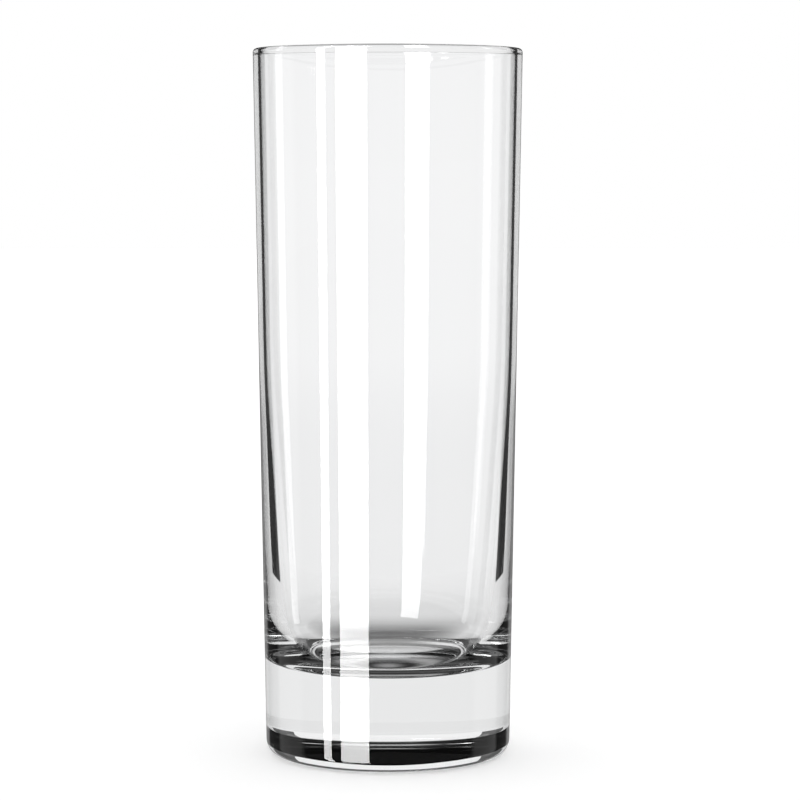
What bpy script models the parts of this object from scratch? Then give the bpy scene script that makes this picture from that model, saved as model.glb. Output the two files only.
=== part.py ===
"""Tall round drinking glass: one turned piece of clear glass with a thick solid base.

Units are metres and +Z is up. The origin is the middle of the ring that the glass stands on.
"""

import math

import bpy
from mathutils import Vector

# Overall sizes of the outside
HEIGHT = 0.158
RIM_RADIUS = 0.030
FOOT_RADIUS = 0.02747
HEEL_RADIUS = 0.0030

# Wall: even above the swell, thicker down to the knee, and thicker still down to the floor
UPPER_WALL = 0.00162
SWELL_HEIGHT = 0.082
SWELL_SOFTNESS = 0.0040
KNEE_HEIGHT = 0.0434
KNEE_WALL = 0.0035
KNEE_SOFTNESS = 0.0025
FLOOR_WALL = 0.0052

# Lip: a bead a little thicker than the wall under it, with a hollow fillet on the inside
BEAD_BULGE = 0.00010
LIP_RADIUS = (UPPER_WALL + BEAD_BULGE) / 2
NECK_RADIUS = 0.0040

# Floor of the cup and the oval corner that leads it into the wall
FLOOR_HEIGHT = 0.0200
CORNER_REACH = 0.0056
CORNER_RISE = 0.0140
CORNER_POWER = 1.3

# Underside: a flat ring to stand on, round a shallow dome
RING_WIDTH = 0.0026
DOME_HEIGHT = 0.0022
DOME_POWER = 1.8

# How finely the round stretches are divided
TURN_STEPS = 64
CORNER_STEPS = 9
WALL_STEPS = 12
NECK_STEPS = 3
LIP_STEPS = 9
HEEL_STEPS = 6
DOME_STEPS = 7

# Finish of the glass
GLASS_COLOUR = (0.95, 0.97, 0.97, 1.0)
GLASS_ROUGHNESS = 0.02
GLASS_IOR = 1.52
MERGE_DISTANCE = 0.00001


def clear_scene():
    """Remove every object that is in the scene already."""
    for old in list(bpy.data.objects):
        bpy.data.objects.remove(old, do_unlink=True)


def arc(centre, radius, start, end, steps):
    """Points along a circle from one angle to another, both ends included."""
    angles = [start + (end - start) * i / steps for i in range(steps + 1)]
    return [centre + radius * Vector((math.cos(angle), math.sin(angle))) for angle in angles]


def direction_angle(vector):
    """Angle of a vector from the outward direction."""
    return math.atan2(vector.y, vector.x)


def outer_radius(height):
    """Radius of the straight outer wall at a height."""
    run = (height - HEEL_RADIUS) / (HEIGHT - LIP_RADIUS - HEEL_RADIUS)
    return FOOT_RADIUS + (RIM_RADIUS - FOOT_RADIUS) * run


def soft_depth(depth, softness):
    """Depth below a bend: zero well above it, the depth well below it, and a soft curve between."""
    return softness * math.log1p(math.exp(depth / softness))


def wall_thickness(height):
    """Thickness of the wall at a height: it grows below the swell, and faster below the knee."""
    rate = (KNEE_WALL - UPPER_WALL) / (SWELL_HEIGHT - KNEE_HEIGHT)
    lower_rate = (FLOOR_WALL - KNEE_WALL) / (KNEE_HEIGHT - FLOOR_HEIGHT)
    below_swell = soft_depth(SWELL_HEIGHT - height, SWELL_SOFTNESS)
    below_knee = soft_depth(KNEE_HEIGHT - height, KNEE_SOFTNESS)
    return UPPER_WALL + rate * below_swell + (lower_rate - rate) * below_knee


def inner_point(height, inset):
    """Point of the cup's inside at a height, a given distance inside the wall."""
    return Vector((outer_radius(height) - wall_thickness(height) - inset, height))


def floor_corner():
    """Oval corner from the flat floor up to the wall."""
    points = []
    for i in range(CORNER_STEPS + 1):
        angle = math.pi / 2 * i / CORNER_STEPS
        rise = CORNER_RISE * (1.0 - math.cos(angle))
        inset = CORNER_REACH * (1.0 - math.sin(angle)) ** CORNER_POWER
        points.append(inner_point(FLOOR_HEIGHT + rise, inset))
    return points


def inner_wall(bottom, top):
    """Wall between two heights, without its two ends."""
    return [inner_point(bottom + (top - bottom) * i / WALL_STEPS, 0.0) for i in range(1, WALL_STEPS)]


def lip_and_neck():
    """Hollow fillet that leads the inner wall into the bead, and the bead's round top."""
    lip_centre = Vector((RIM_RADIUS - LIP_RADIUS, HEIGHT - LIP_RADIUS))
    wall_start = Vector((outer_radius(SWELL_HEIGHT) - UPPER_WALL, SWELL_HEIGHT))
    wall_end = Vector((outer_radius(HEIGHT) - UPPER_WALL, HEIGHT))
    upwards = (wall_end - wall_start).normalized()
    inwards = Vector((-upwards.y, upwards.x))

    # The fillet's centre is its radius away from the wall and touches the bead from below
    offset = wall_start + inwards * NECK_RADIUS - lip_centre
    apart = offset - upwards * offset.dot(upwards)
    drop = math.sqrt((LIP_RADIUS + NECK_RADIUS) ** 2 - apart.length_squared)
    neck_centre = lip_centre + apart - upwards * drop

    neck_start = direction_angle(-inwards)
    neck_end = direction_angle(lip_centre - neck_centre)
    neck = arc(neck_centre, NECK_RADIUS, neck_start, neck_end, NECK_STEPS)

    lip_start = direction_angle(neck_centre - lip_centre) % (2 * math.pi)
    lip_end = direction_angle(-inwards)
    lip = arc(lip_centre, LIP_RADIUS, lip_start, lip_end, LIP_STEPS)
    return neck + lip[1:]


def rounded_heel():
    """Quarter round that leads the outer wall into the standing ring."""
    points = []
    for i in range(HEEL_STEPS + 1):
        angle = math.pi / 2 * i / HEEL_STEPS
        height = HEEL_RADIUS * (1.0 - math.sin(angle))
        inset = HEEL_RADIUS * (1.0 - math.cos(angle))
        points.append(Vector((outer_radius(height) - inset, height)))
    return points


def underside():
    """Rounded heel, flat standing ring and shallow dome, from the outer wall to the axis."""
    heel = rounded_heel()

    # The dome falls from its middle to the ring with a power of the distance from the axis
    dome_edge = heel[-1].x - RING_WIDTH
    shares = [math.cos(math.pi / 2 * i / DOME_STEPS) for i in range(DOME_STEPS)]
    dome = [Vector((dome_edge * share, DOME_HEIGHT * (1.0 - share ** DOME_POWER))) for share in shares]
    return heel + dome + [Vector((0.0, DOME_HEIGHT))]


def tumbler_profile():
    """Half section of the glass: floor, up the inside, over the lip, down the outside, underside."""
    corner = floor_corner()
    lip = lip_and_neck()
    return [Vector((0.0, FLOOR_HEIGHT))] + corner + inner_wall(corner[-1].y, lip[0].y) + lip + underside()


def glass_material():
    """Clear colourless glass."""
    material = bpy.data.materials.new("clear_glass")
    material.use_nodes = True
    shader = material.node_tree.nodes["Principled BSDF"]
    shader.inputs["Base Color"].default_value = GLASS_COLOUR
    shader.inputs["Metallic"].default_value = 0.0
    shader.inputs["Roughness"].default_value = GLASS_ROUGHNESS
    shader.inputs["IOR"].default_value = GLASS_IOR
    shader.inputs["Transmission Weight"].default_value = 1.0
    return material


def turned_object(name, profile, material, collection):
    """Object made by turning a half section once round the Z axis."""
    mesh = bpy.data.meshes.new(name)
    points = [(point.x, 0.0, point.y) for point in profile]
    edges = [(i, i + 1) for i in range(len(points) - 1)]
    mesh.from_pydata(points, edges, [])
    mesh.materials.append(material)
    turned = bpy.data.objects.new(name, mesh)
    collection.objects.link(turned)

    screw = turned.modifiers.new("turning", "SCREW")
    screw.axis = "Z"
    screw.angle = 2 * math.pi
    screw.steps = TURN_STEPS
    screw.render_steps = TURN_STEPS
    screw.use_merge_vertices = True
    screw.merge_threshold = MERGE_DISTANCE
    screw.use_smooth_shade = True
    return turned


def main():
    """Build the glass in a collection of its own."""
    clear_scene()
    collection = bpy.data.collections.new("tall_tumbler")
    bpy.context.scene.collection.children.link(collection)
    turned_object("glass_tumbler", tumbler_profile(), glass_material(), collection)


main()
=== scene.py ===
"""Looks of a tall round drinking glass, in a plain white studio.

One piece of clear glass is turned from a half section of lines, arcs and soft bends. The studio is white to
the camera and to its pale floor. The glass sees a graded sky, a table of its own with painted shade and
painted rings of light, dark cards that draw its edges, and strip lights that draw its highlights.
"""

import logging
import math
from dataclasses import dataclass, field
from enum import Enum

import bpy
import numpy as np
from mathutils import Euler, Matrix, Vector


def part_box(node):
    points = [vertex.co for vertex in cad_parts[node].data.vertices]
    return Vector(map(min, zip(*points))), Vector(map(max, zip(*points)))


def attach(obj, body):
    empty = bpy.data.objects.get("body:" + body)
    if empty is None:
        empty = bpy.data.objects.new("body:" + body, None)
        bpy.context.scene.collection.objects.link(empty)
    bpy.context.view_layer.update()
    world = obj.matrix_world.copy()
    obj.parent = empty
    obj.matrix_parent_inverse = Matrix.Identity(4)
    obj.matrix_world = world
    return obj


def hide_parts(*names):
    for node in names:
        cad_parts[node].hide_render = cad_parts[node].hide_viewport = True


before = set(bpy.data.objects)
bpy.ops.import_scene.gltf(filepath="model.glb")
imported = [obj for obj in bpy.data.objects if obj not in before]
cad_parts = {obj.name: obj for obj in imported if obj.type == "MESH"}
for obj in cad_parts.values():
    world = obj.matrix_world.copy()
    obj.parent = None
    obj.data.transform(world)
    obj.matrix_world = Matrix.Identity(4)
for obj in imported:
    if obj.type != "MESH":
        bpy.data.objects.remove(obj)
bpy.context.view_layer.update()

LOG = logging.getLogger("tall_tumbler")
NODE = "glass_tumbler"
BODY = "root"
FULL_TURN = 2.0 * math.pi
QUARTER_TURN = FULL_TURN / 4.0
FAR_DISTANCE = 10.0
MAX_BOUNCES = 16
GLOSSY_BOUNCES = 12
RAY_KINDS = ("camera", "diffuse", "glossy", "transmission", "shadow")

Socket = bpy.types.NodeSocket
Value = float | Socket
Faces = list[tuple[int, ...]] | list[list[int]]


class Seen(Enum):
    """Kinds of rays that see a piece of the studio."""

    SHOWN = ("camera", "diffuse", "shadow")
    THROUGH = ("transmission",)
    GLEAM = ("glossy",)


class Route(Enum):
    """Counts along a ray's path, with a level that the count has to pass."""

    ANY = ("Ray Depth", -1.0)
    MIRRORED = ("Glossy Depth", 0.5)
    TWICE_MIRRORED = ("Glossy Depth", 1.5)
    MUCH_MIRRORED = ("Glossy Depth", 2.5)
    DEEP = ("Transmission Depth", 3.5)


@dataclass(frozen=True)
class ClearGlass:
    """Clear colourless glass with a fire-polished skin.

    The skin is almost a mirror. A noise lets its roughness drift a little, and a slower one leads its colour
    between clear and a faint cool tint.
    """

    ior: float = 1.52
    tint: tuple[float, float, float, float] = (0.90, 0.95, 0.96, 1.0)
    tint_density: float = 1.2
    smoothest: float = 0.0
    roughest: float = 0.006
    drift_scale: float = 60.0
    cool: tuple[float, float, float, float] = (0.993, 0.996, 1.0, 1.0)
    clear: tuple[float, float, float, float] = (1.0, 1.0, 1.0, 1.0)
    colour_scale: float = 18.0

    def make(self) -> bpy.types.Material:
        """Build the material.

        Returns:
            A Principled glass with noises in its colour and roughness, and a faint absorption inside.
        """
        material = bpy.data.materials.new("clear_glass_finish")
        material.use_nodes = True
        tree = material.node_tree
        shader = tree.nodes["Principled BSDF"]
        shader.inputs["IOR"].default_value = self.ior
        shader.inputs["Transmission Weight"].default_value = 1.0

        place = tree.nodes.new("ShaderNodeTexCoord")
        drift = tree.nodes.new("ShaderNodeTexNoise")
        drift.inputs["Scale"].default_value = self.drift_scale
        spread = tree.nodes.new("ShaderNodeMapRange")
        spread.inputs["To Min"].default_value = self.smoothest
        spread.inputs["To Max"].default_value = self.roughest
        tree.links.new(place.outputs["Object"], drift.inputs["Vector"])
        tree.links.new(drift.outputs["Fac"], spread.inputs["Value"])
        tree.links.new(spread.outputs["Result"], shader.inputs["Roughness"])

        cloud = tree.nodes.new("ShaderNodeTexNoise")
        cloud.inputs["Scale"].default_value = self.colour_scale
        colour = tree.nodes.new("ShaderNodeMix")
        colour.data_type = "RGBA"
        colour.inputs["A"].default_value = self.cool
        colour.inputs["B"].default_value = self.clear
        tree.links.new(place.outputs["Object"], cloud.inputs["Vector"])
        tree.links.new(cloud.outputs["Fac"], colour.inputs["Factor"])
        tree.links.new(colour.outputs["Result"], shader.inputs["Base Color"])

        inside = tree.nodes.new("ShaderNodeVolumeAbsorption")
        inside.inputs["Color"].default_value = self.tint
        inside.inputs["Density"].default_value = self.tint_density
        tree.links.new(inside.outputs["Volume"], tree.nodes["Material Output"].inputs["Volume"])
        return material


def arc(centre: np.ndarray, radius: float, start: float, end: float, steps: int) -> np.ndarray:
    """Points along a circle: centre plus radius times (cos, sin) of evenly spaced angles.

    Args:
        centre: Middle of the circle in the plane of the half section.
        radius: Radius of the circle.
        start: First angle, from the outward direction.
        end: Last angle.
        steps: Number of steps between the two.

    Returns:
        An array of steps + 1 points.
    """
    angles = np.linspace(start, end, steps + 1)
    return centre + radius * np.column_stack((np.cos(angles), np.sin(angles)))


def line(start: np.ndarray, end: np.ndarray, steps: int) -> np.ndarray:
    """Points between two points, evenly spaced, without the two ends.

    Args:
        start: Point before the first.
        end: Point after the last.
        steps: Number of steps between the two ends.

    Returns:
        An array of steps - 1 points.
    """
    share = np.linspace(0.0, 1.0, steps + 1)[1:-1, None]
    return start + (end - start) * share


def angle_of(vector: np.ndarray) -> float:
    """Angle of a vector from the outward direction."""
    return math.atan2(vector[1], vector[0])


def unit(vector: np.ndarray) -> np.ndarray:
    """Vector of length one in the same direction."""
    return vector / np.linalg.norm(vector)


def soft_depth(depth: np.ndarray, softness: float) -> np.ndarray:
    """Soft bend: the softness times the logarithm of 1 plus the exponential of depth over softness."""
    return softness * np.logaddexp(0.0, depth / softness)


def new_object(name: str, points: np.ndarray, faces: Faces,
               material: bpy.types.Material) -> bpy.types.Object:
    """Put a mesh in the scene.

    Args:
        name: Name of the object and of its mesh.
        points: Its points.
        faces: Its faces.
        material: Its material.

    Returns:
        The object.
    """
    mesh = bpy.data.meshes.new(name)
    mesh.from_pydata(points.tolist(), [], faces)
    mesh.materials.append(material)
    piece = bpy.data.objects.new(name, mesh)
    bpy.context.scene.collection.objects.link(piece)
    return piece


@dataclass
class Tumbler:
    """The glass, turned from one half section in metres."""

    height: float
    rim_radius: float
    foot_radius: float = 0.02747
    heel_radius: float = 0.0030
    upper_wall: float = 0.00162
    bead_bulge: float = 0.00010
    neck_radius: float = 0.0040
    swell_height: float = 0.082
    swell_softness: float = 0.0040
    knee_height: float = 0.0434
    knee_wall: float = 0.0035
    knee_softness: float = 0.0025
    floor_height: float = 0.0200
    floor_wall: float = 0.0052
    corner_reach: float = 0.0056
    corner_rise: float = 0.0140
    corner_power: float = 1.3
    ring_width: float = 0.0026
    dome_height: float = 0.0022
    dome_power: float = 1.8
    round_steps: int = 256
    floor_steps: int = 8
    corner_steps: int = 48
    wall_steps: int = 80
    neck_steps: int = 10
    bead_steps: int = 24
    outer_steps: int = 16
    heel_steps: int = 24
    ring_steps: int = 4
    dome_steps: int = 72
    finish: ClearGlass = field(default_factory=ClearGlass)

    @property
    def lip_radius(self) -> float:
        """Radius of the bead, which is a little thicker than the wall under it."""
        return (self.upper_wall + self.bead_bulge) / 2

    def outer_radius(self, height: float | np.ndarray) -> float | np.ndarray:
        """Radius of the straight outer wall, in proportion between the heel's top and the lip."""
        run = (height - self.heel_radius) / (self.height - self.lip_radius - self.heel_radius)
        return self.foot_radius + (self.rim_radius - self.foot_radius) * run

    def wall(self, height: np.ndarray) -> np.ndarray:
        """Thickness of the wall at each height.

        The wall is even above the swell, thickens at a steady rate down to the knee and faster below it.
        Each change of rate is a soft bend.

        Args:
            height: Heights above the table.

        Returns:
            The thicknesses.
        """
        rate = (self.knee_wall - self.upper_wall) / (self.swell_height - self.knee_height)
        lower_rate = (self.floor_wall - self.knee_wall) / (self.knee_height - self.floor_height)
        below_swell = soft_depth(self.swell_height - height, self.swell_softness)
        below_knee = soft_depth(self.knee_height - height, self.knee_softness)
        return self.upper_wall + rate * below_swell + (lower_rate - rate) * below_knee

    def inner_point(self, height: float) -> np.ndarray:
        """Point of the even upper wall's inner side at a height."""
        return np.array((self.outer_radius(height) - self.upper_wall, height))

    def inside(self, top: float) -> np.ndarray:
        """Half section of the cup's inside, from the floor's middle up to the neck.

        The corner is an oval: at each angle from the floor's side it has risen by the rise times
        (1 - cosine), and it lies inside the wall by the reach times a power of (1 - sine).

        Args:
            top: Height where the neck starts.

        Returns:
            Flat floor, rounded corner and wall.
        """
        angles = np.linspace(0.0, QUARTER_TURN, self.corner_steps + 1)
        corner = self.floor_height + self.corner_rise * (1.0 - np.cos(angles))
        above = np.linspace(corner[-1], top, self.wall_steps + 1)[1:-1]
        height = np.concatenate((corner, above))
        inset = self.corner_reach * (1.0 - np.sin(angles)) ** self.corner_power
        insets = np.concatenate((inset, np.zeros(len(above))))
        radius = self.outer_radius(height) - self.wall(height) - insets
        middle = np.array((0.0, self.floor_height))
        side = np.column_stack((radius, height))
        return np.vstack((line(middle, side[0], self.floor_steps), side))

    def lip(self) -> np.ndarray:
        """Half section of the lip.

        The fillet's centre is the fillet's radius away from the inner wall, and its circle touches the
        bead's circle from below.

        Returns:
            A hollow fillet that leads the inner wall into the bead, then the bead's round top.
        """
        centre = np.array((self.rim_radius - self.lip_radius, self.height - self.lip_radius))
        start = self.inner_point(self.swell_height)
        upwards = unit(self.inner_point(self.height) - start)
        inwards = np.array((-upwards[1], upwards[0]))
        offset = start + inwards * self.neck_radius - centre
        apart = offset - upwards * (offset @ upwards)
        drop = math.sqrt((self.lip_radius + self.neck_radius) ** 2 - apart @ apart)
        neck_centre = centre + apart - upwards * drop

        outwards = angle_of(-inwards)
        neck_end = angle_of(centre - neck_centre)
        neck = arc(neck_centre, self.neck_radius, outwards, neck_end, self.neck_steps)
        bead_start = angle_of(neck_centre - centre) % FULL_TURN
        bead = arc(centre, self.lip_radius, bead_start, outwards, self.bead_steps)
        return np.vstack((neck, bead[1:]))

    def underside(self) -> np.ndarray:
        """Half section of the heel, the flat ring and the dome.

        The heel is a quarter round: at each angle it lies inside the wall by its radius times (1 - cosine),
        at a height of its radius times (1 - sine). The dome rises inwards: its height is the middle's height
        times 1 minus a power of the radius over the ring's inner radius.

        Returns:
            Rounded heel, ring and dome.
        """
        angles = np.linspace(0.0, QUARTER_TURN, self.heel_steps + 1)
        height = self.heel_radius * (1.0 - np.sin(angles))
        inset = self.heel_radius * (1.0 - np.cos(angles))
        heel = np.column_stack((self.outer_radius(height) - inset, height))
        edge = heel[-1][0] - self.ring_width
        radius = edge * np.cos(np.linspace(0.0, QUARTER_TURN, self.dome_steps + 1))[:-1]
        dome = np.column_stack((radius, self.dome_height * (1.0 - (radius / edge) ** self.dome_power)))
        return np.vstack((heel, line(heel[-1], dome[0], self.ring_steps), dome))

    def outline(self) -> np.ndarray:
        """Half section from the floor's middle, over the lip, to the middle of the dome, poles left out.

        Returns:
            Radius and height of each point.
        """
        lip = self.lip()
        under = self.underside()
        outside = line(lip[-1], under[0], self.outer_steps)
        return np.vstack((self.inside(lip[0][1]), lip, outside, under))

    def points(self, outline: np.ndarray) -> np.ndarray:
        """Points of the turned half section.

        Each point of the outline is carried round a circle: x and y are its radius times the cosine and sine
        of the turn, and z is its height.

        Args:
            outline: Radius and height of each point of the half section.

        Returns:
            The circles one after the other, then the poles of the floor and of the dome.
        """
        turn = np.linspace(0.0, FULL_TURN, self.round_steps, endpoint=False)
        ring = np.stack((np.cos(turn), np.sin(turn)), axis=1)
        flat = outline[:, None, 0:1] * ring[None, :, :]
        tall = np.broadcast_to(outline[:, None, 1:2], (len(outline), self.round_steps, 1))
        grid = np.concatenate((flat, tall), axis=2).reshape(-1, 3)
        poles = np.array(((0.0, 0.0, self.floor_height), (0.0, 0.0, self.dome_height)))
        return np.vstack((grid, poles))

    def faces(self, rows: int) -> Faces:
        """Faces of the turned half section.

        Args:
            rows: Number of circles.

        Returns:
            Quads between neighbouring circles, then a fan at each pole.
        """
        step = np.arange(self.round_steps)
        after = (step + 1) % self.round_steps
        row = (np.arange(rows - 1) * self.round_steps)[:, None]
        quads = np.stack((row + step, row + self.round_steps + step,
                          row + self.round_steps + after, row + after), axis=-1).reshape(-1, 4)
        floor_pole = np.full(self.round_steps, rows * self.round_steps)
        last_row = (rows - 1) * self.round_steps
        floor_fan = np.stack((floor_pole, step, after), axis=-1)
        dome_fan = np.stack((floor_pole + 1, last_row + after, last_row + step), axis=-1)
        return quads.tolist() + floor_fan.tolist() + dome_fan.tolist()

    def build(self) -> bpy.types.Object:
        """Turn the half section round the axis and put it in a mesh.

        Returns:
            The glass as a closed, smooth mesh that rides on its body.
        """
        outline = self.outline()
        faces = self.faces(len(outline))
        piece = new_object("tumbler_glass", self.points(outline), faces, self.finish.make())
        piece.data.shade_smooth()
        piece.data.validate()
        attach(piece, BODY)
        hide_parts(NODE)
        return piece


@dataclass(frozen=True)
class Card:
    """Upright glowing card bent round the glass, with a tone where 1 is white.

    Angles are in degrees, from the camera's side of the glass towards +X. Its edges are heights in metres,
    and its low edge may end at another height. A card with a route is clear to the rays of all other routes,
    and to those that are barred.
    """

    name: str
    tone: float
    start: float
    end: float
    low: float
    high: float
    distance: float
    seen: Seen
    route: Route = Route.ANY
    low_end: float | None = None
    barred: tuple[Route, ...] = ()

    def points(self, steps: int) -> np.ndarray:
        """Points of the card: distance times (sin, -cos) of the angle, at its low and its high edge.

        Args:
            steps: Number of steps along the bend.

        Returns:
            The row of the low edge, then the row of the high edge.
        """
        angles = np.radians(np.linspace(self.start, self.end, steps + 1))
        low_end = self.low if self.low_end is None else self.low_end
        plan = np.column_stack((self.distance * np.sin(angles), -self.distance * np.cos(angles)))
        low = np.column_stack((plan, np.linspace(self.low, low_end, steps + 1)))
        high = np.column_stack((plan, np.full(steps + 1, self.high)))
        return np.vstack((low, high))


def far_card(name: str, tone: float, span: tuple[float, float], lowest: tuple[float, float], highest: float,
             route: Route = Route.MIRRORED, barred: tuple[Route, ...] = ()) -> Card:
    """Card far from the glass, seen through it.

    Args:
        name: Name of the card.
        tone: Its tone, where 1 is white.
        span: First and last angle in degrees, from the camera's side towards +X.
        lowest: Elevations of its low edge at both ends in degrees, seen from the glass.
        highest: Elevation of its high edge in degrees.
        route: Route of the rays that see it.
        barred: Routes of the rays that don't see it.

    Returns:
        The card, with edges at the distance times the tangent of the elevations.
    """
    low, low_end, high = (FAR_DISTANCE * math.tan(math.radians(el)) for el in (*lowest, highest))
    return Card(name, tone, *span, low, high, FAR_DISTANCE, Seen.THROUGH, route, low_end, barred)


def both_sides(name: str, tone: float, span: tuple[float, float], lowest: tuple[float, float],
               highest: float, route: Route = Route.MIRRORED,
               barred: tuple[Route, ...] = ()) -> tuple[Card, Card]:
    """Far card on the right of the glass, and its mirror image on the left.

    Args:
        name: First word of their names.
        tone: Their tone, where 1 is white.
        span: First and last angle of the right one in degrees, from the camera's side towards +X.
        lowest: Elevations of its low edge at both ends in degrees, seen from the glass.
        highest: Elevation of their high edges in degrees.
        route: Route of the rays that see them.
        barred: Routes of the rays that don't see them.

    Returns:
        The right card and the left card.
    """
    left_span = (-span[1], -span[0])
    return (far_card(name + "_right_card", tone, span, lowest, highest, route, barred),
            far_card(name + "_left_card", tone, left_span, lowest[::-1], highest, route, barred))


@dataclass(frozen=True)
class Nodes:
    """Adds nodes to the tree of a material or of the world."""

    tree: bpy.types.NodeTree

    def add(self, kind: str) -> bpy.types.Node:
        """New node of one kind."""
        return self.tree.nodes.new(kind)

    def feed(self, socket: Socket, value: Value) -> None:
        """Give a socket a number, or link another node's output to it.

        Args:
            socket: The input socket.
            value: The number or the output.
        """
        if isinstance(value, float):
            socket.default_value = value
        else:
            self.tree.links.new(value, socket)

    def calculate(self, operation: str, first: Value, second: Value = 0.0) -> Socket:
        """Apply an operation to two values.

        Args:
            operation: Name of the operation.
            first: First value.
            second: Second value, which some operations don't use.

        Returns:
            The result.
        """
        node = self.add("ShaderNodeMath")
        node.operation = operation
        self.feed(node.inputs[0], first)
        self.feed(node.inputs[1], second)
        return node.outputs["Value"]

    def product(self, first: Value, second: Value) -> Socket:
        """Product of two values."""
        return self.calculate("MULTIPLY", first, second)

    def above(self, value: Value, level: float) -> Socket:
        """Value that is 1 where another is greater than a level, and 0 elsewhere."""
        return self.calculate("GREATER_THAN", value, level)

    def below(self, value: Value, level: float) -> Socket:
        """Value that is 1 where another is less than a level, and 0 elsewhere."""
        return self.calculate("LESS_THAN", value, level)

    def mask(self, route: Route) -> Socket:
        """Value that is 1 for the rays of one route, and 0 for all others."""
        name, level = route.value
        return self.above(self.add("ShaderNodeLightPath").outputs[name], level)

    def vector_math(self, operation: str, vector: Socket) -> bpy.types.Node:
        """Apply an operation to one vector.

        Args:
            operation: Name of the operation.
            vector: The vector.

        Returns:
            The node with the result.
        """
        node = self.add("ShaderNodeVectorMath")
        node.operation = operation
        self.feed(node.inputs[0], vector)
        return node

    def part(self, vector: Socket, axis: str) -> Socket:
        """One part of a vector.

        Args:
            vector: The vector.
            axis: X, Y or Z.

        Returns:
            The vector's measure along that axis.
        """
        node = self.add("ShaderNodeSeparateXYZ")
        self.feed(node.inputs["Vector"], vector)
        return node.outputs[axis]

    def share_of(self, value: Socket, low: float, high: float, rise: str = "LINEAR") -> Socket:
        """Place of a value between two limits, from 0 to 1.

        Args:
            value: The value.
            low: Limit that becomes 0.
            high: Limit that becomes 1.
            rise: Name of the way it rises between the two.

        Returns:
            The clamped place.
        """
        node = self.add("ShaderNodeMapRange")
        node.interpolation_type = rise
        node.inputs["From Min"].default_value = low
        node.inputs["From Max"].default_value = high
        self.feed(node.inputs["Value"], value)
        return node.outputs["Result"]

    def choose(self, factor: Socket, other: Value, chosen: Value) -> Socket:
        """Choice between two values.

        Args:
            factor: Share of the second value.
            other: First value.
            chosen: Second value.

        Returns:
            The mixed value.
        """
        mix = self.add("ShaderNodeMix")
        self.feed(mix.inputs["Factor"], factor)
        self.feed(mix.inputs["A"], other)
        self.feed(mix.inputs["B"], chosen)
        return mix.outputs["Result"]

    def tone_ramp(self, value: Socket, stops: list[tuple[float, float]]) -> Socket:
        """Tone that follows a value along a ramp.

        Args:
            value: Value from -1 to 1.
            stops: Values with their tones, in rising order.

        Returns:
            The tone.
        """
        ramp = self.add("ShaderNodeValToRGB")
        marks = ramp.color_ramp.elements
        while len(marks) < len(stops):
            marks.new(1.0)
        for mark, (level, tone) in zip(marks, stops):
            mark.position = (level + 1.0) / 2.0
            mark.color = (tone, tone, tone, 1.0)
        self.feed(ramp.inputs["Fac"], self.share_of(value, -1.0, 1.0))
        return ramp.outputs["Color"]

    def surface(self, shader: Socket) -> None:
        """End the tree of a material in a shader."""
        self.feed(self.add("ShaderNodeOutputMaterial").inputs["Surface"], shader)

    def glow_where(self, seeing: Socket, tone: Value) -> None:
        """End the tree of a material in a white glow that only some rays see.

        Args:
            seeing: Value that is 1 for the rays that see it. It is clear to the others.
            tone: Brightness, where 1 is white.
        """
        glow = self.add("ShaderNodeEmission")
        clear = self.add("ShaderNodeBsdfTransparent")
        either = self.add("ShaderNodeMixShader")
        self.feed(glow.inputs["Strength"], tone)
        self.feed(either.inputs["Fac"], seeing)
        self.feed(either.inputs[1], clear.outputs["BSDF"])
        self.feed(either.inputs[2], glow.outputs["Emission"])
        self.surface(either.outputs["Shader"])


def blank_material(name: str) -> tuple[bpy.types.Material, Nodes]:
    """Material with an empty tree.

    Args:
        name: Name of the material.

    Returns:
        The material, and the means to add nodes to it.
    """
    material = bpy.data.materials.new(name)
    material.use_nodes = True
    material.node_tree.nodes.clear()
    return material, Nodes(material.node_tree)


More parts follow.
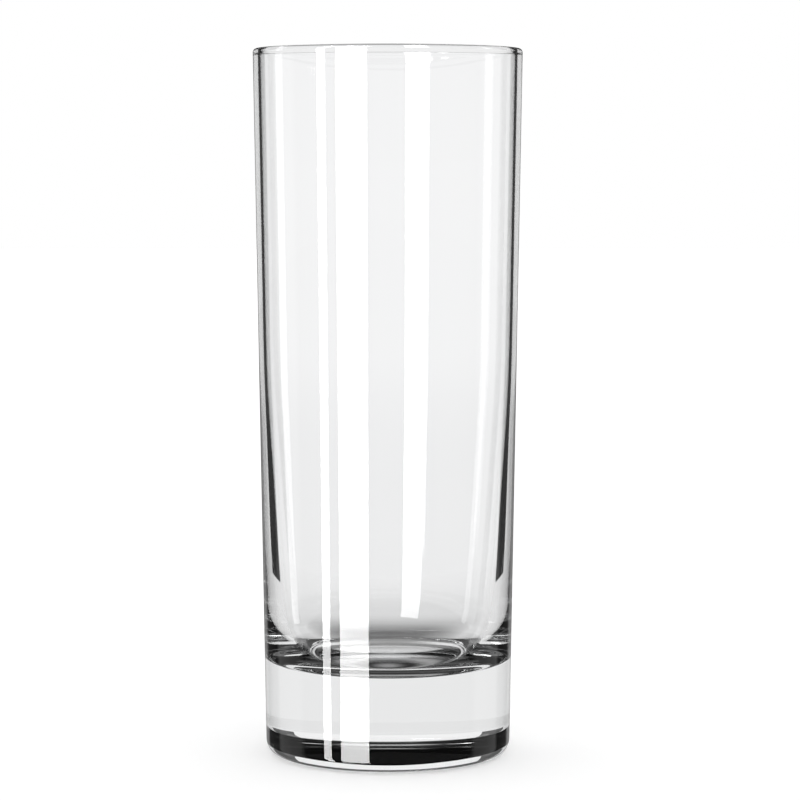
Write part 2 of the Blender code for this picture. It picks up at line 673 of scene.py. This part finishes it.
@dataclass
class Studio:
    """White room with a pale floor, dark cards for the glass's edges and strip lights for its gleams.

    The camera and the floor see only white. The rest is for the glass, whose edges wouldn't show in an
    all-white room, and some of it is seen only by rays of one route.
    """

    # Floor that the camera sees
    floor_size: float = 8.0
    floor_gap: float = 0.0002
    floor_colour: float = 0.92
    shown_floor: float = 1.12

    # Table that the glass sees: painted rings of light under the foot, and painted shade behind it
    foot_radius: float = 0.0256
    ring_pitch: float = 0.012
    ring_inside: float = 0.014
    ring_outside: float = 0.024
    ring_shade: float = 0.03
    ring_light: float = 0.36
    shade_start: float = 0.046
    shade_end: float = 0.102
    shade_tone: float = 0.15
    shade_sides: tuple[float, float] = (0.86, 0.98)
    far_tone: float = 0.78
    fade_end: float = 0.190
    table_front: float = 0.0

    # Far cards: angles and elevations in degrees
    card_top: float = 9.0
    dark_span: tuple[float, float] = (134.0, 151.5)
    dark_lowest: tuple[float, float] = (-17.35, -16.0)
    dark_tone: float = 0.004
    grey_span: tuple[float, float] = (151.5, 172.0)
    grey_lowest: tuple[float, float] = (-34.0, -34.0)
    grey_tone: float = 0.20
    heel_span: tuple[float, float] = (118.0, 142.0)
    heel_lowest: tuple[float, float] = (-1.0, -1.0)
    heel_back_span: tuple[float, float] = (142.0, 218.0)
    heel_back_lowest: tuple[float, float] = (21.0, 21.0)
    heel_card_top: float = 70.0
    heel_tone: float = 0.12
    bend_steps: int = 16

    # Lights: angles and elevations in degrees, and edges in metres
    light_distance: float = 0.45
    light_edges: tuple[float, float] = (-0.30, 0.70)
    strip_span: tuple[float, float] = (-60.7, -52.8)
    strip_tone: float = 14.0
    box_span: tuple[float, float] = (-43.5, -17.0)
    box_tone: float = 15.0
    inner_span: tuple[float, float] = (-40.0, -17.0)
    inner_edges: tuple[float, float] = (-0.10, 0.235)
    inner_tone: float = 8.0
    side_span: tuple[float, float] = (-115.0, -105.0)
    side_lowest: tuple[float, float] = (-24.0, -24.0)
    side_tone: float = 2.6

    # Sky that the glass sees: elevations in degrees, or Y of the direction, with their tones
    floor_line: float = -3.0
    floor_through: float = 0.85
    open_sky: float = 0.95
    overhead: float = 44.0
    overhead_tone: float = 0.16
    sky_front: float = 0.2
    much_mirrored_tone: float = 0.15
    sky_tones: tuple[tuple[float, float], ...] = (
        (-42.0, 0.05), (-34.0, 0.28), (-27.0, 0.86), (-9.0, 0.89), (-4.0, 0.95), (4.5, 0.96), (5.5, 0.001),
        (44.0, 0.001), (66.0, 0.95))
    gleam_tones: tuple[tuple[float, float], ...] = (
        (-0.10, 0.06), (0.02, 0.60), (0.50, 0.60), (0.58, 0.08), (0.84, 0.08), (0.89, 0.50), (0.955, 0.50),
        (0.98, 0.08))

    def dark_cards(self) -> tuple[Card, ...]:
        """Cards that darken the glass's edges, for rays that were mirrored inside it."""
        return both_sides("back", self.dark_tone, self.dark_span, self.dark_lowest, self.card_top)

    def grey_cards(self) -> tuple[Card, ...]:
        """Cards beside the dark ones, for rays that were mirrored many times."""
        return both_sides("grey", self.grey_tone, self.grey_span, self.grey_lowest, self.card_top,
                          Route.MUCH_MIRRORED)

    def heel_cards(self) -> tuple[Card, ...]:
        """Cards that draw the heel's lower edge and its corners, for rays that weren't mirrored.

        Returns:
            The card behind the glass, then one at each side of it.
        """
        rest = (self.heel_card_top, Route.ANY, (Route.MIRRORED, Route.DEEP))
        back = far_card("heel_top_card", self.heel_tone, self.heel_back_span, self.heel_back_lowest, *rest)
        return (back, *both_sides("heel", self.heel_tone, self.heel_span, self.heel_lowest, *rest))

    def lights(self) -> tuple[Card, ...]:
        """Strip lights for the gleams.

        Returns:
            Two that the near wall mirrors, one that the cup's far wall mirrors, and one at the side.
        """
        near = (*self.light_edges, self.light_distance, Seen.GLEAM)
        inner = (*self.inner_edges, self.light_distance, Seen.THROUGH, Route.DEEP)
        return (Card("left_strip", self.strip_tone, *self.strip_span, *near),
                Card("left_box", self.box_tone, *self.box_span, *near),
                Card("inner_box", self.inner_tone, *self.inner_span, *inner, barred=(Route.TWICE_MIRRORED,)),
                far_card("side_box", self.side_tone, self.side_span, self.side_lowest, self.card_top))

    def build(self) -> None:
        """Build the world, the floor, the table, the cards and the lights."""
        self.build_world()
        self.build_floor()
        self.build_table()
        for card in (*self.dark_cards(), *self.grey_cards(), *self.heel_cards(), *self.lights()):
            self.build_card(card)

    def staged(self, name: str, points: np.ndarray, faces: Faces, material: bpy.types.Material,
               seen: Seen) -> bpy.types.Object:
        """Put a piece of the studio in the scene.

        Args:
            name: Name of the piece.
            points: Its points.
            faces: Its faces.
            material: Its material.
            seen: Which rays see it.

        Returns:
            The piece, marked as stage.
        """
        piece = new_object(name, points, faces, material)
        for kind in RAY_KINDS:
            setattr(piece, "visible_" + kind, kind in seen.value)
        return piece

    def build_card(self, card: Card) -> bpy.types.Object:
        """Build a bent, plainly glowing card.

        Args:
            card: The card.

        Returns:
            The card's object, clear to the rays that don't see the card.
        """
        material, nodes = blank_material(card.name + "_glow")
        seeing = nodes.mask(card.route)
        for route in card.barred:
            seeing = nodes.choose(nodes.mask(route), seeing, 0.0)
        nodes.glow_where(seeing, card.tone)
        row = self.bend_steps + 1
        faces = [(i, i + 1, i + 1 + row, i + row) for i in range(self.bend_steps)]
        return self.staged(card.name, card.points(self.bend_steps), faces, material, card.seen)

    def build_square(self, name: str, height: float, material: bpy.types.Material,
                     seen: Seen) -> bpy.types.Object:
        """Build a level square under the glass.

        Args:
            name: Name of the square.
            height: Its height.
            material: Its material.
            seen: Which rays see it.

        Returns:
            The square.
        """
        half = self.floor_size / 2
        points = np.array(((-half, -half, height), (half, -half, height),
                           (half, half, height), (-half, half, height)))
        return self.staged(name, points, [(0, 1, 2, 3)], material, seen)

    def build_floor(self) -> bpy.types.Object:
        """Build the pale floor, which shows white to the camera and keeps the glass's shadow.

        Returns:
            The floor.
        """
        material, nodes = blank_material("pale_floor")
        skin = nodes.add("ShaderNodeBsdfDiffuse")
        path = nodes.add("ShaderNodeLightPath")
        shown = nodes.choose(path.outputs["Is Camera Ray"], self.floor_colour, self.shown_floor)
        nodes.feed(skin.inputs["Color"], shown)
        nodes.surface(skin.outputs["BSDF"])
        return self.build_square("floor", -self.floor_gap, material, Seen.SHOWN)

    def build_table(self) -> bpy.types.Object:
        """Build the floor that shows through the glass.

        Under the foot lie painted rings of light: half of 1 plus the cosine of a full turn times the radius
        over the rings' pitch, fading outwards. Seen through both walls of the cup, the table behind the
        glass has painted shade near the foot, and the painted shade fades in a smooth step. To all other
        rays the table ends at the foot.

        Returns:
            The floor for the glass, just above the other one.
        """
        material, nodes = blank_material("table_with_painted_shade_and_rings")
        place = nodes.add("ShaderNodeTexCoord").outputs["Object"]
        away = nodes.vector_math("LENGTH", place).outputs["Value"]
        heading = nodes.vector_math("NORMALIZE", place).outputs["Vector"]

        # painted shade on the table behind the foot, fading in a smooth step
        behind = nodes.share_of(nodes.part(heading, "Y"), *self.shade_sides)
        shade = nodes.share_of(away, self.shade_end, self.shade_start, "SMOOTHSTEP")
        painted_shade_tone = nodes.choose(nodes.product(shade, behind), self.far_tone, self.shade_tone)

        # painted rings of light under the foot, fading outwards
        wave = nodes.calculate("COSINE", nodes.product(away, FULL_TURN / self.ring_pitch))
        fading_out = nodes.share_of(away, self.ring_outside, self.ring_inside)
        crest = nodes.product(nodes.share_of(wave, -1.0, 1.0), fading_out)
        under = nodes.choose(crest, self.ring_shade, self.ring_light)

        tone = nodes.choose(nodes.above(away, self.foot_radius), under, painted_shade_tone)
        near = nodes.below(away, self.foot_radius)
        wide = nodes.share_of(away, self.fade_end, self.shade_end)
        seeing = nodes.choose(nodes.mask(Route.DEEP), near, wide)
        nodes.glow_where(seeing, self.much_mirrored(nodes, tone, place, self.table_front))
        return self.build_square("table", -self.floor_gap / 2, material, Seen.THROUGH)

    def much_mirrored(self, nodes: Nodes, tone: Socket, place: Socket, limit: float) -> Socket:
        """Darken a tone on the camera's side for rays that were mirrored many times.

        Args:
            nodes: Nodes of a material or of the world.
            tone: The tone.
            place: Point or direction whose Y tells the side.
            limit: Y up to which the tone is darkened.

        Returns:
            The tone, times a low share for those rays.
        """
        front = nodes.below(nodes.part(place, "Y"), limit)
        both = nodes.product(front, nodes.mask(Route.MUCH_MIRRORED))
        return nodes.product(tone, nodes.choose(both, 1.0, self.much_mirrored_tone))

    def build_world(self) -> None:
        """Build the world, which is white to the camera and the floor, and a graded sky to the glass.

        What shows through the glass follows a ramp over the sine of the elevation. Rays that didn't pass
        through the whole cup see an even floor and a grey ceiling, and unmirrored rays see an open sky above
        the horizon. What the glass mirrors is that ramp times another one, over the direction's Y.
        """
        world = bpy.data.worlds.new("studio_world")
        bpy.context.scene.world = world
        world.use_nodes = True
        nodes = Nodes(world.node_tree)
        path = nodes.add("ShaderNodeLightPath")
        heading = nodes.add("ShaderNodeTexCoord").outputs["Generated"]
        rise = nodes.part(heading, "Z")
        sky = nodes.tone_ramp(rise, [(math.sin(math.radians(el)), tone) for el, tone in self.sky_tones])

        low = nodes.below(rise, math.sin(math.radians(self.floor_line)))
        ceiling = nodes.above(rise, math.sin(math.radians(self.overhead)))
        shallow = nodes.choose(low, sky, self.floor_through)
        shallow = nodes.choose(ceiling, shallow, self.overhead_tone)
        mirrored = nodes.choose(nodes.mask(Route.DEEP), shallow, sky)
        direct = nodes.choose(nodes.above(rise, 0.0), mirrored, self.open_sky)
        through = nodes.choose(nodes.mask(Route.MIRRORED), direct, mirrored)
        through = self.much_mirrored(nodes, through, heading, self.sky_front)

        gleam = nodes.product(nodes.tone_ramp(nodes.part(heading, "Y"), list(self.gleam_tones)), sky)
        glass = nodes.choose(path.outputs["Is Transmission Ray"], gleam, through)
        seen_plain = nodes.calculate("ADD", path.outputs["Is Camera Ray"], path.outputs["Diffuse Depth"])
        level = nodes.choose(nodes.share_of(seen_plain, 0.0, 1.0), glass, 1.0)
        background = world.node_tree.nodes["Background"]
        nodes.feed(background.inputs["Strength"], level)
        background.inputs["Color"].default_value = (1.0, 1.0, 1.0, 1.0)


@dataclass(frozen=True)
class PhotoCamera:
    """Camera at the photograph's viewing angle, in metres and degrees, with its lens in millimetres."""

    distance: float = 0.6797
    height: float = 0.1327
    pitch: float = 4.467
    yaw: float = 0.230
    lens: float = 136.66
    sensor: float = 36.0

    def build(self) -> bpy.types.Object:
        """Build the camera and make it the scene's.

        Returns:
            The camera.
        """
        data = bpy.data.cameras.new("photo_camera")
        data.lens = self.lens
        data.sensor_width = self.sensor
        camera = bpy.data.objects.new("photo_camera", data)
        camera.location = Vector((0.0, -self.distance, self.height))
        tilt = QUARTER_TURN - math.radians(self.pitch)
        camera.rotation_euler = Euler((tilt, 0.0, -math.radians(self.yaw)))
        bpy.context.scene.collection.objects.link(camera)
        bpy.context.scene.camera = camera
        return camera


def main() -> None:
    """Build the camera, the studio and the glass in order, and log the glass's number of faces."""
    logging.basicConfig(level=logging.INFO, format="%(name)s: %(message)s")
    scene = bpy.context.scene
    scene.view_settings.view_transform = "Standard"
    scene.cycles.max_bounces = MAX_BOUNCES
    scene.cycles.transmission_bounces = MAX_BOUNCES
    scene.cycles.glossy_bounces = GLOSSY_BOUNCES
    scene.cycles.use_denoising = True
    PhotoCamera().build()
    Studio().build()
    _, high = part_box(NODE)
    glass = Tumbler(height=float(high[2]), rim_radius=float(high[0])).build()
    LOG.info("%s: %d faces", glass.name, len(glass.data.polygons))


if __name__ == "__main__":
    main()
